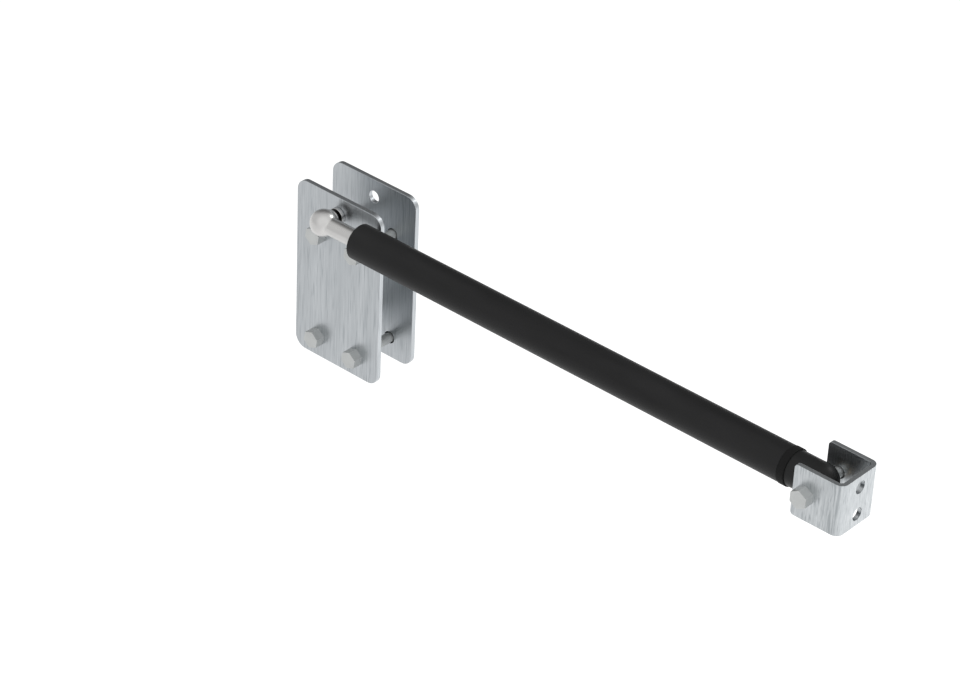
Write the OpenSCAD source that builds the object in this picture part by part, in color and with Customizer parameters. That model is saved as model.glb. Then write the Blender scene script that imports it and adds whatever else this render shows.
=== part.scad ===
// Gas strut with a clamp mount of two plates at its ball end and a folded U bracket at its eye end.
// The origin is the centre of the rear plate's free hole, on the plate's back face.
// +X runs along the strut, +Y points out of the rear plate's back, and +Z is up.

/* [Mount plates] */
// Width of each plate
plate_w = 86.5; // [80:0.5:100]
// Height of each plate
plate_h = 150; // [140:1:190]
// Thickness of each plate
plate_t = 4; // [2:0.5:6]
// Gap between the plates, where the post is clamped
plate_gap = 34; // [25:1:60]
// Radius of the plates' corners
plate_corner_r = 10; // [4:1:14]
// Ball stud hole, down from the plates' top edge
stud_from_top = 15; // [12:0.5:17]
// Diameter of every hole in the plates
plate_hole_d = 10; // [9:0.5:11]

/* [Clamp bolts] */
// Bolt spacing along X
bolt_pitch_x = 40; // [34:1:52]
// Bolt spacing along Z
bolt_pitch_z = 93; // [70:1:100]
// Lower bolts, up from the plates' bottom edge
bolt_from_bottom = 17.5; // [12:0.5:20]
// Diameter of the bolts and of the ball stud's thread
bolt_d = 8; // [6:0.5:8.5]
// Width across flats of the bolt heads and nuts
hex_af = 13; // [11:0.5:14]
// How far the corners of heads and nuts are turned off
hex_chamfer = 0.4; // [0.2:0.1:0.9]
// Height of the bolt heads
head_h = 8; // [4:0.5:9]
// Height of the nuts
nut_h = 6.5; // [4:0.5:8]
// Thread that stands out past a nut
tip_out = 2; // [1:0.5:5]
// Outside diameter of the washers
washer_d = 16; // [15:0.5:18]
// Thickness of the washers
washer_t = 1.6; // [1:0.1:2.5]
// Turn of the clamp bolts' heads and nuts
head_turn = 20; // [0:5:55]
// Turn of the pivot bolt's head
pivot_turn = 30; // [0:5:55]

/* [Ball joint] */
// Diameter of the ball
ball_d = 13; // [12:0.25:14]
// Ball centre, out from the front plate's face
ball_offset = 16; // [15.5:0.5:20]
// Diameter of the stud between ball and collar
stud_neck_d = 6.75; // [5:0.25:8]
// Diameter of the stud's collar
collar_d = 15.5; // [11:0.5:16]
// Thickness of the stud's collar
collar_t = 1.75; // [1:0.25:4]
// Diameter of the socket's round head
socket_d = 21.4; // [18:0.1:23]
// Diameter of the socket's rim round its mouth
rim_d = 14.8; // [14.6:0.1:17]
// Depth of the socket's mouth, from the ball centre
mouth_depth = 8.8; // [8:0.1:10]
// Diameter of the socket's shank
shank_d = 14; // [11:0.2:15]
// Length from ball centre to the shank's end face
socket_len = 38; // [34:1:50]
// Blend radius between socket head and shank
socket_blend_r = 3; // [2:0.5:6]
// Wire diameter of the retaining ring
ring_wire_d = 1.2; // [0.8:0.1:1.3]
// Retaining ring, from the ball centre
ring_depth = 4.1; // [3.9:0.1:5]

/* [Strut] */
// Length between the ball centre and the pivot bolt, strut closed
pin_to_pin = 466; // [360:1:700]
// Outside diameter of the guard sleeve
sleeve_d = 28; // [27.8:0.1:30]
// Wall of the guard sleeve
sleeve_wall = 0.55; // [0.4:0.05:0.6]
// Start of the guard sleeve, from the ball centre
sleeve_start = 36.5; // [34:0.5:37.5]
// Pivot bolt to the near end of the guard sleeve
sleeve_to_pivot = 29.5; // [24:0.5:33]
// Thickness of the cap that carries the sleeve
cap_t = 4; // [2:0.5:8]
// Width of the wiper ring on the sleeve's free end
wiper_ring_w = 6; // [3:0.5:8]
// How far the wiper ring stands out past the sleeve, all round
wiper_ring_lip = 0.3; // [0.1:0.1:0.6]
// Diameter of the piston rod
rod_d = 10; // [9:0.5:12]
// Length of the rod's thread inside the socket
rod_thread_l = 14; // [8:1:16]
// Free space between the sleeve's cap and the tube, strut closed
cap_to_tube = 4; // [1:0.5:12]
// Outside diameter of the pressure tube
tube_d = 26.7; // [26:0.1:26.8]
// Wall of the pressure tube
tube_wall = 1.6; // [1:0.1:2.2]
// Hole left in the tube's rolled end
tube_mouth_d = 14; // [12:0.5:18]
// Depth of the bead that holds the guide in the tube
bead_depth = 0.8; // [0.4:0.1:1]

/* [Strut internals] */
// Length of the dust wiper
wiper_l = 4; // [2:0.5:6]
// Length of the rod guide
guide_l = 14; // [8:1:24]
// Length of the rod seal
seal_l = 5; // [3:0.5:8]
// Thickness of the washer behind the seal
seal_washer_t = 2; // [1:0.5:4]
// Length of the piston
piston_l = 14; // [10:1:24]
// Width of the piston ring
piston_ring_w = 3; // [2:0.5:5]
// Radial depth of the piston ring
piston_ring_t = 2.2; // [1.5:0.1:3]
// Thickness of the piston's stop washer
stop_washer_t = 2; // [1:0.5:4]
// Diameter of the rod's threaded end in the piston
piston_thread_d = 6; // [5:0.5:7]
// Width across flats of the piston nut
piston_nut_af = 10; // [9:0.5:12]
// Height of the piston nut
piston_nut_h = 5; // [3:0.5:7]
// Room between the rod's tip and the end plug, strut closed
end_room = 1; // [0.5:0.1:12]

/* [End plug and bracket] */
// Pivot bolt to the plug's shoulder
plug_len = 36; // [34:1:60]
// Centre of the plug's round nose, short of the pivot bolt
nose_back = 2.5; // [0:0.5:4]
// Length of the plug's spigot inside the tube
plug_spigot_l = 10; // [6:1:20]
// Outside diameter of the pivot bush
bush_d = 12; // [10.5:0.5:14]
// Thickness of the bracket's sheet
bracket_t = 3.5; // [2:0.5:5]
// Width of the bracket over its arms
bracket_w = 41; // [39:0.5:60]
// Height of the bracket
bracket_h = 41; // [37:0.5:60]
// Depth of the bracket along the strut
bracket_l = 40; // [38:0.5:60]
// Pivot bolt to the arms' free edge
pivot_from_edge = 10.5; // [8:0.5:13]
// Outer radius of the bracket's folds
fold_r = 6; // [5.5:0.5:8]
// Radius of the arms' free corners
arm_corner_r = 3; // [1:0.5:6]
// Diameter of the bracket's holes
bracket_hole_d = 10; // [9:0.5:11]
// Spacing of the two fixing holes
bracket_pitch = 22; // [18:0.5:24]

/* [Fits] */
// Radial clearance of running fits
run_fit = 0.06; // [0.02:0.01:0.1]
// Radial clearance of sliding fits on the tube
slide_fit = 0.1; // [0.04:0.01:0.1]
// Radial gap of screwed and pressed joints
seat_fit = 0.05; // [0.02:0.01:0.1]
// Radial gap of washers on their bolts
washer_fit = 0.2; // [0.1:0.05:0.4]
// Edge break on turned pieces
edge_break = 0.4; // [0.2:0.1:0.8]

/* [Hidden] */
$fn = 96;
overrun = 1;
hex_round = 1 / cos(30);
chamfer_slope = tan(30);

stack = 2 * plate_t + plate_gap;
front_face_y = -stack;
gap_front_y = -plate_t - plate_gap;
strut_y = front_face_y - ball_offset;
plate_low_z = stud_from_top - plate_h;
bolt_low_z = plate_low_z + bolt_from_bottom;
clamp_places = [for (i = [-0.5, 0.5], k = [0, 1]) [i * bolt_pitch_x, bolt_low_z + k * bolt_pitch_z]];

ball_r = ball_d / 2;
socket_r = socket_d / 2;
shank_r = shank_d / 2;
mouth_r = ball_r + 2 * run_fit;
ring_wire_r = ring_wire_d / 2;
ring_room = 0.15;
ring_mid_r = mouth_r - ring_wire_r + 2 * ring_room;
rod_thread_d = bolt_d;
thread_relief = 2;

sleeve_r = sleeve_d / 2;
sleeve_bore_r = sleeve_r - sleeve_wall;
cap_end_x = socket_len + cap_t;
tube_x = cap_end_x + cap_to_tube;
tube_r = min(tube_d / 2, sleeve_bore_r - slide_fit);
bore_r = tube_r - tube_wall;
guide_x = tube_x + tube_wall + wiper_l;
seal_x = guide_x + guide_l;
pack_end_x = seal_x + seal_l + seal_washer_t;
bead_x = pack_end_x + 1.5 * bead_depth;
plug_x = pin_to_pin - plug_len;
rod_tip_x = plug_x - plug_spigot_l - end_room;
piston_end_x = rod_tip_x - edge_break - piston_nut_h;
piston_x = piston_end_x - piston_l;
rod_shoulder_x = piston_x - stop_washer_t;
piston_r = bore_r - slide_fit;
ring_x = piston_x + piston_l / 2;

web_x = pin_to_pin - pivot_from_edge + bracket_l;
arm_x = web_x - bracket_l;
bush_l = 2 * sqrt(pow(tube_r, 2) - pow(bush_d / 2 + nose_back, 2)) - 2 * seat_fit;
clamp_bolt_l = stack + washer_t + nut_h + tip_out;
pivot_bolt_l = bracket_w + washer_t + nut_h + tip_out;

zinc = "lightsteelblue";
steel = "silver";
dark = "dimgray";
rubber = "darkslategray";

// Turns a shape's Z axis to +X, on the strut's centre line, from a place along it.
module on_strut(x) {
    translate([x, strut_y, 0]) rotate([0, 90, 0]) children();
}

// Turns a shape's Z axis to +Y, at a place in the row frame.
module facing_back(x, y, z) {
    translate([x, y, z]) rotate([-90, 0, 0]) children();
}

// Turned ring or disc between two radii, with broken outer edges.
module turned_ring(outer_r, inner_r, length, edge = edge_break) {
    rotate_extrude()
        polygon([[inner_r, 0], [outer_r - edge, 0], [outer_r, edge], [outer_r, length - edge],
            [outer_r - edge, length], [inner_r, length]]);
}

// Hexagon with its corners turned off at 30 degrees, on one end or on both.
module hexagon(af, height, both_ends) {
    corner_r = af / 2 * hex_round;
    face_r = corner_r - hex_chamfer;
    drop = hex_chamfer * chamfer_slope;
    low = both_ends ? drop : 0;
    low_r = both_ends ? face_r : corner_r;
    intersection() {
        cylinder(r = corner_r, h = height, $fn = 6);
        rotate_extrude()
            polygon([[0, 0], [low_r, 0], [corner_r, low], [corner_r, height - drop],
                [face_r, height], [0, height]]);
    }
}

// Bolt with its head below Z = 0 and its shank above.
module hex_bolt(length, turn) {
    rotate([180, 0, turn]) hexagon(hex_af, head_h, false);
    turned_ring(bolt_d / 2, 0, length, edge = 2 * edge_break);
}

module hex_nut(af, height, thread_d, turn = 0) {
    difference() {
        rotate([0, 0, turn]) hexagon(af, height, true);
        translate([0, 0, -overrun]) cylinder(d = thread_d + 2 * seat_fit, h = height + 2 * overrun);
    }
}

module washer() {
    difference() {
        cylinder(d = washer_d, h = washer_t);
        translate([0, 0, -overrun]) cylinder(d = bolt_d + 2 * washer_fit, h = washer_t + 2 * overrun);
    }
}

// Flat plate with round corners, a stud hole near its top and four bolt holes.
module mount_plate(back_y) {
    half_w = plate_w / 2;
    inset = plate_corner_r;
    facing_back(0, back_y - plate_t, 0)
        linear_extrude(plate_t)
            difference() {
                union() {
                    translate([inset - half_w, -stud_from_top]) square([plate_w - 2 * inset, plate_h]);
                    translate([-half_w, inset - stud_from_top]) square([plate_w, plate_h - 2 * inset]);
                    for (x = [inset - half_w, half_w - inset], y = [inset, plate_h - inset])
                        translate([x, y - stud_from_top]) circle(r = plate_corner_r);
                }
                circle(d = plate_hole_d);
                for (place = clamp_places)
                    translate([place[0], -place[1]]) circle(d = plate_hole_d);
            }
}

module front_plate() {
    color(steel) mount_plate(gap_front_y);
}

module rear_plate() {
    color(steel) mount_plate(0);
}

module clamp_bolts() {
    color(zinc)
        for (place = clamp_places)
            facing_back(place[0], front_face_y, place[1]) hex_bolt(clamp_bolt_l, -head_turn);
}

module clamp_washers() {
    color(zinc)
        for (place = clamp_places)
            facing_back(place[0], 0, place[1]) washer();
}

module clamp_nuts() {
    color(zinc)
        for (place = clamp_places)
            facing_back(place[0], washer_t, place[1]) hex_nut(hex_af, nut_h, bolt_d, head_turn);
}

// One turned piece: ball, waisted neck, collar against the plate, and thread through it.
module ball_stud() {
    neck_r = stud_neck_d / 2;
    collar_z = ball_offset - collar_t;
    neck_start = sqrt(pow(ball_r, 2) - pow(neck_r, 2));
    thread_l = plate_t + washer_t + nut_h + tip_out;
    color(zinc)
        facing_back(0, strut_y, 0) {
            sphere(r = ball_r);
            translate([0, 0, neck_start / 2]) cylinder(r = neck_r, h = collar_z - neck_start / 2 + overrun);
            translate([0, 0, collar_z]) turned_ring(collar_d / 2, 0, collar_t);
            translate([0, 0, ball_offset - overrun])
                turned_ring(bolt_d / 2, 0, overrun + thread_l, edge = 2 * edge_break);
        }
}

module stud_washer() {
    color(zinc) facing_back(0, gap_front_y, 0) washer();
}

module stud_nut() {
    color(zinc) facing_back(0, gap_front_y + washer_t, 0) hex_nut(hex_af, nut_h, bolt_d);
}

// Open ring of spring wire that snaps in behind the ball.
module retaining_ring() {
    opening = 40;
    color(dark)
        facing_back(0, strut_y, 0)
            translate([0, 0, ring_depth])
                rotate([0, 0, opening / 2])
                    rotate_extrude(angle = 360 - opening) translate([ring_mid_r, 0]) circle(r = ring_wire_r);
}

// Half outline of the socket's round head, its shank, and the concave blend between them.
module socket_outline() {
    far_r = socket_r + socket_blend_r;
    blend_y = shank_r + socket_blend_r;
    blend_x = sqrt(pow(far_r, 2) - pow(blend_y, 2));
    touch_x = blend_x * socket_r / far_r;
    touch_y = blend_y * socket_r / far_r;
    edge = 2 * edge_break;
    intersection() {
        circle(r = socket_r);
        translate([0, -socket_r]) square([socket_r, 2 * socket_r]);
    }
    difference() {
        polygon([[0, touch_x / 2], [touch_y, touch_x], [blend_y, blend_x], [0, blend_x]]);
        translate([blend_y, blend_x]) circle(r = socket_blend_r);
    }
    polygon([[0, blend_x - edge], [shank_r, blend_x - edge], [shank_r, socket_len - edge],
        [shank_r - edge, socket_len], [0, socket_len]]);
}

// Socket with a ball seat, a groove for the retaining ring, and a threaded hole for the rod.
module ball_socket() {
    ring_groove_r = ring_mid_r + ring_wire_r + ring_room / 2;
    groove_w = ring_wire_d + 2 * ring_room;
    hole_l = rod_thread_l + thread_relief;
    color(steel)
        difference() {
            union() {
                on_strut(0) rotate_extrude() socket_outline();
                facing_back(0, strut_y, 0) cylinder(d = rim_d, h = mouth_depth);
            }
            facing_back(0, strut_y, 0) {
                sphere(r = ball_r + run_fit);
                cylinder(r = mouth_r, h = mouth_depth + overrun);
                translate([0, 0, mouth_depth]) cylinder(r = socket_r, h = socket_r);
                translate([0, 0, ring_depth - groove_w / 2]) cylinder(r = ring_groove_r, h = groove_w);
            }
            on_strut(socket_len - hole_l) cylinder(d = rod_thread_d + 2 * seat_fit, h = hole_l + overrun);
        }
}

// Disc between the socket's shank and the rod's shoulder. The sleeve is pressed on it.
module sleeve_cap() {
    color(dark)
        on_strut(socket_len)
            turned_ring(sleeve_bore_r - seat_fit, rod_thread_d / 2 + seat_fit, cap_t);
}

module guard_sleeve() {
    lip = sleeve_wall / 2;
    length = pin_to_pin - sleeve_to_pivot - sleeve_start;
    color("black")
        on_strut(sleeve_start)
            rotate_extrude()
                polygon([[sleeve_bore_r, 0], [sleeve_r - lip, 0], [sleeve_r, lip], [sleeve_r, length - lip],
                    [sleeve_r - lip, length], [sleeve_bore_r, length]]);
}

// Rubber ring bonded on the sleeve's free end, which wipes the tube.
module wiper_ring() {
    color(rubber)
        on_strut(pin_to_pin - sleeve_to_pivot)
            turned_ring(sleeve_r + wiper_ring_lip, sleeve_bore_r, wiper_ring_w, edge = wiper_ring_lip);
}

// Rod with a thread for the socket at one end and one for the piston at the other.
module piston_rod() {
    color(steel) {
        on_strut(socket_len - rod_thread_l)
            turned_ring(rod_thread_d / 2, 0, rod_thread_l + cap_t + overrun);
        on_strut(cap_end_x) turned_ring(rod_d / 2, 0, rod_shoulder_x - cap_end_x);
        on_strut(rod_shoulder_x - overrun)
            turned_ring(piston_thread_d / 2, 0, rod_tip_x - rod_shoulder_x + overrun);
    }
}

module stop_washer() {
    color(steel)
        on_strut(rod_shoulder_x)
            turned_ring(piston_r - bead_depth, piston_thread_d / 2 + seat_fit, stop_washer_t);
}

// Piston with a groove for its ring and a small gas way through it.
module piston() {
    gas_way_d = 1.2;
    groove_w = piston_ring_w + 2 * run_fit;
    groove_r = piston_r - piston_ring_t - run_fit;
    color(zinc)
        on_strut(piston_x)
            difference() {
                turned_ring(piston_r, piston_thread_d / 2 + seat_fit, piston_l);
                translate([0, 0, (piston_l - groove_w) / 2])
                    difference() {
                        cylinder(r = piston_r + overrun, h = groove_w);
                        translate([0, 0, -overrun]) cylinder(r = groove_r, h = groove_w + 2 * overrun);
                    }
                translate([0, (groove_r + piston_thread_d / 2) / 2, -overrun])
                    cylinder(d = gas_way_d, h = piston_l + 2 * overrun);
            }
}

module piston_nut() {
    color(zinc) on_strut(piston_end_x) hex_nut(piston_nut_af, piston_nut_h, piston_thread_d);
}

module piston_ring() {
    color(rubber)
        on_strut(ring_x - piston_ring_w / 2)
            turned_ring(bore_r - run_fit / 2, piston_r - piston_ring_t, piston_ring_w, edge = edge_break / 2);
}

// Seamless tube: rolled in over the guide at its open end, and beaded in behind the seal.
module pressure_tube() {
    length = plug_x - tube_x;
    roll_r = 2 * tube_wall;
    bead_r = 1.5 * bead_depth;
    bead_z = bead_x - tube_x;
    color("black")
        on_strut(tube_x)
            rotate_extrude() {
                difference() {
                    union() {
                        translate([bore_r, roll_r]) square([tube_wall, length - roll_r]);
                        translate([tube_mouth_d / 2, 0])
                            square([tube_r - roll_r - tube_mouth_d / 2, tube_wall]);
                        intersection() {
                            translate([tube_r - roll_r, roll_r]) circle(r = roll_r);
                            translate([tube_r - roll_r, 0]) square(roll_r);
                        }
                    }
                    translate([0, tube_wall]) square([bore_r, length]);
                    translate([tube_r + bead_r - bead_depth, bead_z]) circle(r = bead_r);
                }
                intersection() {
                    translate([bore_r + bead_r - bead_depth, bead_z]) circle(r = bead_r);
                    translate([0, bead_z - bead_r]) square([bore_r + bead_depth / 2, 2 * bead_r]);
                }
            }
}

module rod_wiper() {
    color(rubber)
        on_strut(tube_x + tube_wall)
            turned_ring(bore_r - seat_fit, rod_d / 2 + run_fit, wiper_l);
}

// Bush with a shallow grease groove inside.
module rod_guide() {
    groove_l = guide_l / 3;
    color(zinc)
        on_strut(guide_x)
            difference() {
                turned_ring(bore_r - seat_fit, rod_d / 2 + run_fit, guide_l);
                translate([0, 0, groove_l]) cylinder(r = rod_d / 2 + edge_break, h = groove_l);
            }
}

// Lip seal, hollowed on its gas side so that the pressure spreads its lips.
module rod_seal() {
    outer_r = bore_r - seat_fit;
    inner_r = rod_d / 2 + run_fit;
    middle_r = (outer_r + inner_r) / 2;
    hollow_w = (outer_r - inner_r) / 4;
    color(rubber)
        on_strut(seal_x)
            rotate_extrude()
                polygon([[inner_r, 0], [outer_r, 0], [outer_r, seal_l], [middle_r + hollow_w, seal_l],
                    [middle_r, seal_l / 2], [middle_r - hollow_w, seal_l], [inner_r, seal_l]]);
}

module seal_washer() {
    color(steel)
        on_strut(seal_x + seal_l)
            turned_ring(bore_r - seat_fit, rod_d / 2 + edge_break, seal_washer_t);
}

// Turned plug: spigot in the tube, round nose, and a cross bore for the bush.
module end_plug() {
    color("black")
        difference() {
            on_strut(0) {
                translate([0, 0, plug_x - plug_spigot_l])
                    turned_ring(bore_r - seat_fit, 0, plug_spigot_l + overrun);
                translate([0, 0, plug_x]) cylinder(r = tube_r, h = plug_len - nose_back);
                translate([0, 0, pin_to_pin - nose_back]) sphere(r = tube_r);
            }
            facing_back(pin_to_pin, strut_y - tube_r - overrun, 0)
                cylinder(d = bush_d, h = 2 * (tube_r + overrun));
        }
}

module pivot_bush() {
    color(steel)
        facing_back(pin_to_pin, strut_y - bush_l / 2, 0)
            turned_ring(bush_d / 2 - seat_fit, bolt_d / 2 + run_fit, bush_l);
}

// Square end on the left, round corners on the right.
module fold_outline(left, right, half_w, r) {
    translate([left, -half_w]) square([right - left - r, 2 * half_w]);
    translate([left, r - half_w]) square([right - left, 2 * (half_w - r)]);
    for (side = [-1, 1])
        translate([right - r, side * (half_w - r)]) circle(r = r);
}

// Side view of the bracket: round corners at the free end, square at the web.
module arm_outline() {
    half_h = bracket_h / 2;
    translate([arm_x + arm_corner_r, -half_h]) square([bracket_l, bracket_h]);
    translate([arm_x, arm_corner_r - half_h]) square([bracket_l, bracket_h - 2 * arm_corner_r]);
    for (side = [-1, 1])
        translate([arm_x + arm_corner_r, side * (half_h - arm_corner_r)]) circle(r = arm_corner_r);
}

module u_bracket() {
    inner_r = fold_r - bracket_t;
    inner_w = bracket_w / 2 - bracket_t;
    color(steel)
        difference() {
            intersection() {
                translate([0, strut_y, -bracket_h / 2])
                    linear_extrude(bracket_h)
                        difference() {
                            fold_outline(arm_x, web_x, bracket_w / 2, fold_r);
                            fold_outline(arm_x - overrun, web_x - bracket_t, inner_w, inner_r);
                        }
                facing_back(0, strut_y - bracket_w, 0) linear_extrude(2 * bracket_w) arm_outline();
            }
            facing_back(pin_to_pin, strut_y - bracket_w, 0) cylinder(d = bracket_hole_d, h = 2 * bracket_w);
            for (side = [-0.5, 0.5])
                translate([web_x - bracket_t - overrun, strut_y, side * bracket_pitch])
                    rotate([0, 90, 0]) cylinder(d = bracket_hole_d, h = bracket_t + 2 * overrun);
        }
}

module pivot_bolt() {
    color(zinc) facing_back(pin_to_pin, strut_y - bracket_w / 2, 0) hex_bolt(pivot_bolt_l, -pivot_turn);
}

module pivot_washer() {
    color(zinc) facing_back(pin_to_pin, strut_y + bracket_w / 2, 0) washer();
}

module pivot_nut() {
    color(zinc) facing_back(pin_to_pin, strut_y + bracket_w / 2 + washer_t, 0) hex_nut(hex_af, nut_h, bolt_d);
}

front_plate();
rear_plate();
clamp_bolts();
clamp_washers();
clamp_nuts();
ball_stud();
stud_washer();
stud_nut();
retaining_ring();
ball_socket();
sleeve_cap();
guard_sleeve();
wiper_ring();
piston_rod();
stop_washer();
piston();
piston_nut();
piston_ring();
pressure_tube();
rod_wiper();
rod_guide();
rod_seal();
seal_washer();
end_plug();
pivot_bush();
u_bracket();
pivot_bolt();
pivot_washer();
pivot_nut();
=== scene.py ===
import math

import bmesh
import bpy
from mathutils import Matrix, Vector


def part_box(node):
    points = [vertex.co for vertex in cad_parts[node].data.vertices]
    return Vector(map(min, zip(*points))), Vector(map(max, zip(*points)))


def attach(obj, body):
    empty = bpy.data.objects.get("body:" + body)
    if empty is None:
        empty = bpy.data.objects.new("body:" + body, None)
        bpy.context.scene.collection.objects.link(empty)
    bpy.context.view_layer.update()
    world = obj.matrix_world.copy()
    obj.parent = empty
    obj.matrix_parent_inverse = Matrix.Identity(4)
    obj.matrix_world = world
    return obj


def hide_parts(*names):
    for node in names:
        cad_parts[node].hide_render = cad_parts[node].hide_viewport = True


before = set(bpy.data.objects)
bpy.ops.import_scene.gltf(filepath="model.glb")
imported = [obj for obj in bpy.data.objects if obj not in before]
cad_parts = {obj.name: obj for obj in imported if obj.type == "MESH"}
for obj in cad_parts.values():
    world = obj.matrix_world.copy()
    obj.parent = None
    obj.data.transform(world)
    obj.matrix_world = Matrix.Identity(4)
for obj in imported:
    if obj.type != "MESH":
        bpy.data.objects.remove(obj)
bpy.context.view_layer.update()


# Front and rear plates: two equal flat steel plates, cut with round corners.
# Their faces are brushed up and down, and their cut edges are only broken, so they stay crisp.

class Wire:
    """One output of a shader node. Sums and products of wires and numbers add Math nodes."""

    def __init__(self, finish, socket):
        self.finish = finish
        self.socket = socket

    def __add__(self, other):
        return self.finish.math("ADD", self, other)

    def __sub__(self, other):
        return self.finish.math("SUBTRACT", self, other)

    def __rsub__(self, other):
        return self.finish.math("SUBTRACT", other, self)

    def __mul__(self, other):
        return self.finish.math("MULTIPLY", self, other)

    __radd__ = __add__
    __rmul__ = __mul__


class Finish:
    """A surface finish, or the light of the room, built up from shader nodes."""

    def __init__(self, name, kind="materials"):
        self.shading = getattr(bpy.data, kind).new(name)
        self.shading.use_nodes = True
        self.tree = self.shading.node_tree
        self.tree.nodes.clear()

    def node(self, kind, settings=None, sockets=None, out=0):
        """Adds a node: first its settings, then the value or the wire of each socket."""
        made = self.tree.nodes.new("ShaderNode" + kind)
        for name, value in (settings or {}).items():
            setattr(made, name, value)
        for key, value in (sockets or {}).items():
            if isinstance(value, Wire):
                self.tree.links.new(value.socket, made.inputs[key])
            else:
                made.inputs[key].default_value = value
        return Wire(self, made.outputs[out]) if made.outputs else None

    def math(self, operation, first, second=0.0):
        return self.node("Math", {"operation": operation}, {0: first, 1: second})

    def grain(self, per_metre, detail=3.0, roughness=0.55):
        """Noise that changes so many times in a metre along X, Y and Z."""
        point = self.node("TexCoord", out="Object")
        scaled = self.node("VectorMath", {"operation": "MULTIPLY"}, {0: point, 1: per_metre})
        noise = {"Vector": scaled, "Scale": 1.0, "Detail": detail, "Roughness": roughness}
        return self.node("TexNoise", None, noise)

    def spread(self, value, low, high, to_low=0.0, to_high=1.0):
        """Stretches low to high over to_low to to_high, and holds what lies past either end."""
        return self.node("MapRange", None, {0: value, 1: low, 2: high, 3: to_low, 4: to_high})

    def clouds(self, per_metre):
        return self.spread(self.grain(per_metre), 0.3, 0.7)

    def blend(self, amount, first, second):
        """A colour between two. The Mix node takes colours on sockets 6 and 7 and gives one on output 2."""
        colours = {0: amount, 6: (*first, 1.0), 7: (*second, 1.0)}
        return self.node("Mix", {"data_type": "RGBA"}, colours, out=2)

    def bump(self, height, depth, strength):
        return self.node("Bump", None, {"Height": height, "Distance": depth, "Strength": strength})

    def skin(self, sockets):
        shader = self.node("BsdfPrincipled", None, sockets)
        self.node("OutputMaterial", None, {"Surface": shader})
        return self.shading


class BrushedSteel(Finish):
    """Steel brushed along Z, with so many brush lines in a metre across and along the brushing."""

    def __init__(self, name, across, along):
        super().__init__(name)
        self.across = across
        self.along = along
        self.lines = self.spread(self.brush(1.0, 1.0, 3.0, 0.7), 0.34, 0.66)
        dashes = self.spread(self.brush(0.7, 1.6, 1.0), 0.34, 0.44)
        clouds = self.spread(self.brush(0.06, 0.4, 3.0), 0.35, 0.65)
        patches = self.spread(self.grain([50.0, 50.0, 12.0], 1.0), 0.35, 0.65, 0.65, 1.35)
        self.tone = 0.55 + (self.lines * 0.5 + dashes * 0.38 + clouds * 0.12 - 0.55) * patches

    def brush(self, finer_across, finer_along, detail, roughness=0.55):
        across = finer_across * self.across
        return self.grain([across, across, finer_along * self.along], detail, roughness)

    def steel(self, dark, light):
        return self.skin({
            "Base Color": self.blend(self.tone, dark, light),
            "Metallic": 1.0,
            "Roughness": self.spread(self.tone, 0.0, 1.0, 0.4, 0.32),
            "Normal": self.bump(self.lines, 0.00002, 0.5),
        })


merge_distance = 0.000002


def clean_copy(node):
    shape = bmesh.new()
    shape.from_mesh(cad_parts[node].data)
    bmesh.ops.remove_doubles(shape, verts=shape.verts, dist=merge_distance)
    return shape


def round_edges(shape, width, segments=2):
    """Rounds the edges that turn by more than 28 degrees, and leaves the facets of curves alone."""
    flat = math.radians(0.3)
    sharp = math.radians(28)
    bmesh.ops.dissolve_limit(shape, angle_limit=flat, verts=shape.verts, edges=shape.edges)
    corners = [edge for edge in shape.edges if edge.is_manifold and edge.calc_face_angle() > sharp]
    bmesh.ops.bevel(shape, geom=corners, offset=width, offset_type="OFFSET", affect="EDGES",
                    segments=segments, profile=0.5, material=-1, clamp_overlap=True)
    bmesh.ops.dissolve_degenerate(shape, dist=merge_distance, edges=shape.edges)


def finished(shape, node, body, material):
    """Makes the piece that stands for a CAD node, smooth over its rounded edges, and ties it to its body."""
    crease = math.radians(50)
    mesh = bpy.data.meshes.new(node + "_eased")
    shape.to_mesh(mesh)
    shape.free()
    mesh.shade_smooth()
    mesh.set_sharp_from_angle(angle=crease)
    mesh.materials.append(material)
    piece = bpy.data.objects.new(node + "_eased", mesh)
    bpy.context.scene.collection.objects.link(piece)
    piece.modifiers.new("face_normals", "WEIGHTED_NORMAL").keep_sharp = True
    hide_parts(node)
    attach(piece, body)


def eased(node, body, material, width, segments=2):
    """Stands a copy of a CAD node in its place, with its sharp edges rounded."""
    shape = clean_copy(node)
    round_edges(shape, width, segments)
    finished(shape, node, body, material)


plate_brushing = BrushedSteel("brushed_plate", across=1250.0, along=28.0)
plate_steel = plate_brushing.steel(dark=(0.355, 0.38, 0.4), light=(0.55, 0.575, 0.595))
for plate in ("front_plate", "rear_plate"):
    eased(plate, "clamp_mount", plate_steel, width=0.0004, segments=3)


# Clamp bolts, washers and nuts: forged and zinc plated steel, with rolled threads.
# The bolts go through both plates from the front, and the nuts draw the plates together.

def plated(name, dark, light, roughness, metallic=1.0):
    """Bare or plated metal, faintly cloudy, and a little rougher where it is darker."""
    metal = Finish(name)
    cloud = metal.clouds([90.0, 90.0, 90.0])
    return metal.skin({
        "Base Color": metal.blend(cloud, dark, light),
        "Metallic": metallic,
        "Roughness": metal.spread(cloud, 0.0, 1.0, roughness + 0.06, roughness - 0.04),
        "Normal": metal.bump(metal.grain([900.0, 900.0, 900.0], 1.0), 0.00001, 0.2),
    })


def cut_off(shape, level, outwards):
    """Cuts a shape square at a level along Y, drops what lies outwards of it and closes the cut."""
    everything = [*shape.verts, *shape.edges, *shape.faces]
    cut = bmesh.ops.bisect_plane(shape, geom=everything, plane_co=(0.0, level, 0.0),
                                 plane_no=(0.0, outwards, 0.0), clear_outer=True)
    rim = [part for part in cut["geom_cut"] if isinstance(part, bmesh.types.BMEdge)]
    bmesh.ops.holes_fill(shape, edges=rim)


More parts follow.
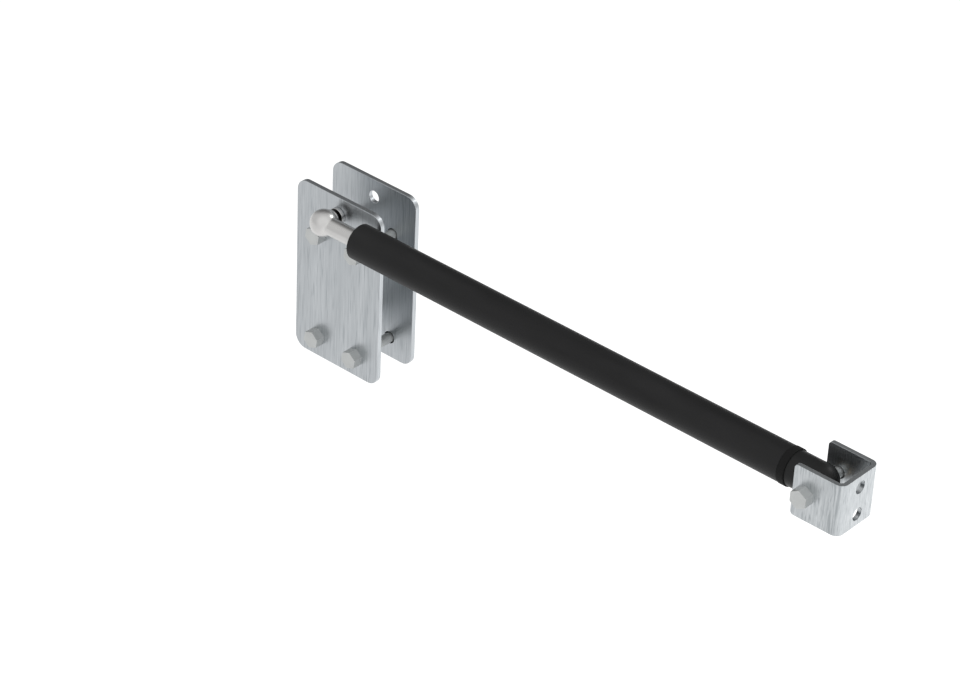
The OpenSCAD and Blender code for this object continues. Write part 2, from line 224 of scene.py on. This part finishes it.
def cut_thread(shape, bolts, nuts, places):
    """Threads the tips of bolts that point along Y, from just inside their nuts outwards."""
    pitch = 0.00125
    crest_radius = 0.00396
    root_radius = 0.0033
    steps = 32
    inside_nut = 0.0003
    overlap = 0.0002
    run_in = 1.3 * pitch
    run_on = 3.0 * pitch
    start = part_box(nuts)[1][1] - inside_nut
    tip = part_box(bolts)[1][1]
    half_pitches = 2 * math.ceil((tip - start + run_on) / pitch)
    cut_off(shape, start + overlap, 1.0)
    for x, z in places:
        thread = bmesh.new()
        outline = []
        for count in range(half_pitches):
            radius = crest_radius if count % 2 else root_radius
            outline.append(thread.verts.new((x + radius, start - run_in + 0.5 * count * pitch, z)))
        flanks = [thread.edges.new(pair) for pair in zip(outline, outline[1:])]
        bmesh.ops.spin(thread, geom=[*outline, *flanks], cent=(x, 0.0, z), axis=(0.0, 1.0, 0.0),
                       dvec=(0.0, pitch / steps, 0.0), angle=2.0 * math.pi, steps=steps)
        bmesh.ops.remove_doubles(thread, verts=thread.verts, dist=merge_distance)
        cut_off(thread, start, -1.0)
        cut_off(thread, tip, 1.0)
        bmesh.ops.dissolve_degenerate(thread, dist=merge_distance, edges=thread.edges)
        bmesh.ops.recalc_face_normals(thread, faces=thread.faces)
        turned = bpy.data.meshes.new("thread")
        thread.to_mesh(turned)
        thread.free()
        shape.from_mesh(turned)
        bpy.data.meshes.remove(turned)


bolt_zinc = plated("bolt_zinc", dark=(0.53, 0.545, 0.54), light=(0.58, 0.595, 0.59),
                   roughness=0.38, metallic=0.55)
bolt_columns = (-0.02, 0.02)
bolt_rows = (-0.1175, -0.0245)
clamp_bolts = clean_copy("clamp_bolts")
round_edges(clamp_bolts, width=0.00025)
cut_thread(clamp_bolts, "clamp_bolts", "clamp_nuts", [(x, z) for x in bolt_columns for z in bolt_rows])
finished(clamp_bolts, "clamp_bolts", "clamp_mount", bolt_zinc)
eased("clamp_nuts", "clamp_mount", bolt_zinc, width=0.00025)
eased("clamp_washers", "clamp_mount", bolt_zinc, width=0.0002)


# Ball stud with its washer and nut: the stud is one turned steel piece, near-black inside its collar's rim
# as painted shade for the shadowed gap under the socket.
# Only its collar's rim keeps the steel's light colour; the collar stands on the front plate, and the nut in
# the gap holds it there.
# Here the collar is narrower and thicker than the solid's, as the photograph shows it.

for node in ("stud_nut", "stud_washer"):
    eased(node, "clamp_mount", bolt_zinc, width=0.0002)

# Painted shade: the stud is near-black within 6.3 mm of its axis, where the gap under the socket lies in
# shade, and light steel on its collar's rim past 6.45 mm.
painted_shade_radius = 0.0063
steel_colour_radius = 0.00645
painted_shade_stud = Finish("stud_painted_shade")
stud_point = painted_shade_stud.node("TexCoord", out="Object")
across_stud = painted_shade_stud.node("VectorMath", {"operation": "MULTIPLY"}, {0: stud_point, 1: (1.0, 0.0, 1.0)})
off_axis = painted_shade_stud.node("VectorMath", {"operation": "LENGTH"}, {0: across_stud}, out="Value")
outside_painted_shade = painted_shade_stud.spread(off_axis, painted_shade_radius, steel_colour_radius)
stud_cloud = painted_shade_stud.clouds([90.0, 90.0, 90.0])
stud_steel_painted_shade = painted_shade_stud.skin({
    "Base Color": painted_shade_stud.blend(outside_painted_shade * 0.9 + stud_cloud * 0.1, (0.02, 0.02, 0.02), (0.6, 0.6, 0.6)),
    "Metallic": 1.0,
    "Roughness": painted_shade_stud.spread(stud_cloud, 0.0, 1.0, 0.42, 0.36),
    "Normal": painted_shade_stud.bump(stud_cloud, 0.00001, 0.2),
})

neck_radius = 0.006
collar_front = -0.0438
collar_side = -0.0431
narrowed = 0.852
thickened = 0.0015
stud = clean_copy("ball_stud")
outside_neck = [vert for vert in stud.verts if math.hypot(vert.co.x, vert.co.z) > neck_radius]
collar = [vert for vert in outside_neck if vert.co.y > collar_front]
bmesh.ops.scale(stud, vec=(narrowed, 1.0, narrowed), verts=collar)
collar_face = [vert for vert in stud.verts if collar_front < vert.co.y < collar_side]
bmesh.ops.translate(stud, vec=(0.0, -thickened, 0.0), verts=collar_face)
round_edges(stud, width=0.0002)
cut_thread(stud, "ball_stud", "stud_nut", [(0.0, 0.0)])
finished(stud, "ball_stud", "clamp_mount", stud_steel_painted_shade)


# Retaining ring: an open ring of oiled spring wire.
# It snaps into a groove in the socket's mouth and keeps the ball in.

def dress(node, material):
    """Gives its finish to a CAD node whose shape is right as it is."""
    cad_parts[node].material_slots[0].material = material


spring_wire = plated("oiled_spring_wire", dark=(0.09, 0.09, 0.1), light=(0.17, 0.17, 0.18), roughness=0.38)
dress("retaining_ring", spring_wire)


# Ball socket: turned steel with a satin zinc finish, bored from the back for the ball.
# Its shank is screwed on the end of the piston rod.

socket_zinc = plated("satin_socket", dark=(0.6, 0.595, 0.59), light=(0.63, 0.625, 0.615), roughness=0.3)
eased("ball_socket", "rod_and_sleeve", socket_zinc, width=0.0003)


# Guard sleeve and its cap: thin steel tube, painted satin black, pressed on the cap.
# The sleeve moves with the rod and slides over the pressure tube.

def black_paint(name, shade, roughness):
    paint = Finish(name)
    orange_peel = paint.grain([700.0, 700.0, 700.0], 2.0)
    patches = paint.clouds([14.0, 60.0, 60.0])
    darker = [0.8 * level for level in shade]
    lighter = [1.2 * level for level in shade]
    return paint.skin({
        "Base Color": paint.blend(patches, darker, lighter),
        "Metallic": 0.0,
        "Roughness": paint.spread(patches, 0.0, 1.0, roughness - 0.03, roughness + 0.03),
        "Specular IOR Level": 0.17,
        "Normal": paint.bump(orange_peel, 0.00003, 0.4),
    })


sleeve_paint = black_paint("sleeve_black", shade=(0.0165, 0.0165, 0.017), roughness=0.46)
eased("guard_sleeve", "rod_and_sleeve", sleeve_paint, width=0.00008)
dress("sleeve_cap", sleeve_paint)


# Wiper ring: a moulded ring of nitrile rubber, bonded on the sleeve's free end. Its near-black colour,
# darker than the sleeve's paint, is partly painted shade for the dark band at the sleeve's end.
# Its lip stands just proud of the sleeve, and its inside wipes the tube.

def moulded(name, dark, light, roughness):
    moulding = Finish(name)
    cloud = moulding.clouds([900.0, 900.0, 900.0])
    return moulding.skin({
        "Base Color": moulding.blend(cloud, dark, light),
        "Roughness": moulding.spread(cloud, 0.0, 1.0, roughness, roughness + 0.08),
        "Specular IOR Level": 0.25,
        "Normal": moulding.bump(cloud, 0.00004, 0.3),
    })


# Painted shade in part: this near-black rubber on the wiper ring stands for the shade at the sleeve's end;
# the hidden wiper and seal share it.
nitrile_and_painted_shade = moulded("nitrile_rubber", dark=(0.003, 0.003, 0.003), light=(0.006, 0.006, 0.006), roughness=0.7)
eased("wiper_ring", "rod_and_sleeve", nitrile_and_painted_shade, width=0.00025, segments=3)


# Piston rod: ground steel, hard chromed and polished, with a thread at each end.
# It carries the socket and the sleeve's cap outside, and the piston inside the tube.

hard_chrome = plated("hard_chrome", dark=(0.7, 0.7, 0.72), light=(0.76, 0.76, 0.78), roughness=0.09)
dress("piston_rod", hard_chrome)


# Piston with its ring, stop washer and nut: turned aluminium, with a ring of filled plastic in its groove.
# The nut holds the piston and the washer on the rod's inner end.

def turned_metal(name, dark, light, roughness):
    """Metal turned about X, with faint rings from the tool."""
    metal = Finish(name)
    point = metal.node("TexCoord", out="Object")
    rings = metal.node("TexWave", {"wave_type": "BANDS", "bands_direction": "X"},
                       {"Vector": point, "Scale": 320.0, "Distortion": 1.5, "Detail": 2.0}, out="Fac")
    cloud = metal.grain([300.0, 300.0, 300.0])
    return metal.skin({
        "Base Color": metal.blend(rings * 0.6 + cloud * 0.4, dark, light),
        "Metallic": 1.0,
        "Roughness": metal.spread(cloud, 0.3, 0.7, roughness, roughness + 0.1),
        "Normal": metal.bump(rings, 0.00003, 0.3),
    })


turned_aluminium = turned_metal("turned_aluminium", dark=(0.62, 0.62, 0.64), light=(0.76, 0.76, 0.78),
                                roughness=0.25)
filled_ptfe = moulded("filled_ptfe", dark=(0.16, 0.13, 0.09), light=(0.24, 0.2, 0.15), roughness=0.5)
dress("piston", turned_aluminium)
dress("stop_washer", spring_wire)
dress("piston_nut", bolt_zinc)
dress("piston_ring", filled_ptfe)


# Pressure tube: drawn steel, painted black after it is closed round the guide.
# In its open end, out of sight, sit the wiper, the rod guide, the seal and its washer.

tube_paint = black_paint("tube_black", shade=(0.017, 0.0175, 0.0175), roughness=0.42)
eased("pressure_tube", "cylinder", tube_paint, width=0.0002)
dress("rod_wiper", nitrile_and_painted_shade)
dress("rod_seal", nitrile_and_painted_shade)
dress("rod_guide", turned_aluminium)
dress("seal_washer", spring_wire)


# End plug and its bush: the plug is turned steel with a round nose, painted with the tube.
# The bronze bush is pressed in its cross bore and turns on the pivot bolt.

turned_bronze = turned_metal("turned_bronze", dark=(0.42, 0.27, 0.12), light=(0.58, 0.4, 0.2), roughness=0.3)
eased("end_plug", "cylinder", tube_paint, width=0.0003)
dress("pivot_bush", turned_bronze)


# U bracket: brushed steel strip, cut, drilled and folded twice.
# The press leaves darker streaks on the outside of the arms, where they run into the folds.

bracket_middle_y = -0.058
streaks_start_x = 0.478
fold_x = 0.488
arm_inside = 0.018
arm_outside = 0.02
strip_brushing = BrushedSteel("brushed_strip", across=1500.0, along=70.0)
strip_point = strip_brushing.node("TexCoord", out="Object")
point_x = strip_brushing.node("SeparateXYZ", None, {0: strip_point}, out="X")
point_y = strip_brushing.node("SeparateXYZ", None, {0: strip_point}, out="Y")
off_middle = strip_brushing.math("ABSOLUTE", point_y - bracket_middle_y)
near_fold = strip_brushing.spread(point_x, streaks_start_x, fold_x)
on_outside = strip_brushing.spread(off_middle, arm_inside, arm_outside)
streaks = strip_brushing.spread(strip_brushing.brush(0.5, 0.5, 2.0), 0.5, 0.62)
strip_brushing.tone = strip_brushing.tone * (1.0 - near_fold * on_outside * streaks * 0.9)
strip_steel = strip_brushing.steel(dark=(0.34, 0.365, 0.38), light=(0.615, 0.64, 0.655))
eased("u_bracket", "bracket", strip_steel, width=0.0003, segments=3)


# Pivot bolt, washer and nut: zinc plated steel, like the clamp bolts.
# The nut holds the bolt in the bracket's arms, and the bolt turns with them in the bush.

pivot_x = 0.466
pivot_bolt = clean_copy("pivot_bolt")
round_edges(pivot_bolt, width=0.0002)
cut_thread(pivot_bolt, "pivot_bolt", "pivot_nut", [(pivot_x, 0.0)])
finished(pivot_bolt, "pivot_bolt", "bracket", bolt_zinc)
for node in ("pivot_nut", "pivot_washer"):
    eased(node, "bracket", bolt_zinc, width=0.0002)


# Studio: a plain pale floor under the held part, one soft lamp behind it, and an even pale room.
# The floor shows white to the camera and keeps a faint shadow; in reflections it glows from white up to 1.4
# times white towards the right and back, a painted light for the faces that mirror it.
# One far corner of the room is dark, so the faces that mirror it are darker.

floor_level = -0.6
floor_half_width = 7.0
glows_brighter_towards = (0.78, 0.62, 0.0)
floor_finish = Finish("studio_floor")
camera_ray = floor_finish.node("LightPath", out="Is Camera Ray")
glossy_ray = floor_finish.node("LightPath", out="Is Glossy Ray")
transmission_ray = floor_finish.node("LightPath", out="Is Transmission Ray")
seen = floor_finish.math("MINIMUM", camera_ray + glossy_ray + transmission_ray, 1.0)
floor_point = floor_finish.node("TexCoord", out="Object")
across_floor = floor_finish.node("VectorMath", {"operation": "DOT_PRODUCT"},
                                 {0: floor_point, 1: glows_brighter_towards}, out="Value")
# Painted light: the floor glows brighter than white towards the right and the back, and the faces that
# mirror it show that glow.
glowing_side = floor_finish.spread(across_floor, -1.0, 1.3)
white_to_glow = floor_finish.blend(glowing_side, (1.0, 1.0, 1.0), (1.4, 1.4, 1.4))
glow = floor_finish.node("Emission", None, {"Color": white_to_glow, "Strength": 1.0})
matt = floor_finish.node("BsdfDiffuse", None, {"Color": (0.8, 0.8, 0.8, 1.0)})
mixed = floor_finish.node("MixShader", None, {0: seen * 0.95, 1: matt, 2: glow})
floor_finish.node("OutputMaterial", None, {"Surface": mixed})

floor_shape = bmesh.new()
bmesh.ops.create_grid(floor_shape, x_segments=1, y_segments=1, size=floor_half_width,
                      matrix=Matrix.Translation((0.0, 0.0, floor_level)))
floor_mesh = bpy.data.meshes.new("floor")
floor_shape.to_mesh(floor_mesh)
floor_shape.free()
floor_mesh.materials.append(floor_finish.shading)
floor = bpy.data.objects.new("floor", floor_mesh)
bpy.context.scene.collection.objects.link(floor)

part_middle = Vector((0.22, -0.04, -0.02))
towards_softbox = Vector((0.25, 0.78, 0.57)).normalized()
softbox_distance = 2.2
softbox_light = bpy.data.lights.new("back_softbox", "AREA")
softbox_light.size = 0.6
softbox_light.energy = 6.0
softbox = bpy.data.objects.new("back_softbox", softbox_light)
softbox.rotation_mode = "QUATERNION"
softbox.rotation_quaternion = towards_softbox.to_track_quat("Z", "Y")
softbox.location = part_middle + softbox_distance * towards_softbox
bpy.context.scene.collection.objects.link(softbox)

air = Finish("studio_air", "worlds")
bpy.context.scene.world = air.shading
direction = air.node("TexCoord", out="Generated")


def towards(aim):
    """How far a direction in the room points the same way as the aim, from -1 to 1."""
    return air.node("VectorMath", {"operation": "DOT_PRODUCT"}, {0: direction, 1: aim}, out="Value")


front = (0.54, -0.64, 0.55)
far_corner = (-0.57, 0.69, 0.43)
front_glow = air.spread(towards(front), 0.4, 0.8)
dark_corner = air.spread(towards(far_corner), 0.68, 0.93)
level = front_glow * 0.3 + (1.0 - dark_corner) * 0.7
seen_directly = air.node("LightPath", out="Is Camera Ray")
sky = air.blend(air.math("MAXIMUM", level, seen_directly), (0.16, 0.16, 0.16), (1.0, 1.0, 1.0))
backdrop = air.node("Background", None, {"Color": sky, "Strength": 1.0})
air.node("OutputWorld", None, {"Surface": backdrop})


# Camera: the photograph's view, from the right of the front and above, through a long lens.
# Its place and turn put the plates' and the bracket's edges where the photograph has them.

camera = bpy.data.objects.new("camera", bpy.data.cameras.new("camera"))
camera.data.lens = 126.67
camera.data.sensor_width = 36.0
camera.data.clip_end = 30.0
place = Matrix.Translation((1.4851, -1.6138, 1.3121))
right = (0.74306, 0.66805, 0.0397)
up = (-0.39235, 0.3868, 0.83455)
back = (0.54215, -0.63569, 0.54952)
camera.matrix_world = place @ Matrix((right, up, back)).transposed().to_4x4()
bpy.context.scene.collection.objects.link(camera)
bpy.context.scene.camera = camera
bpy.context.scene.view_settings.view_transform = "Standard"
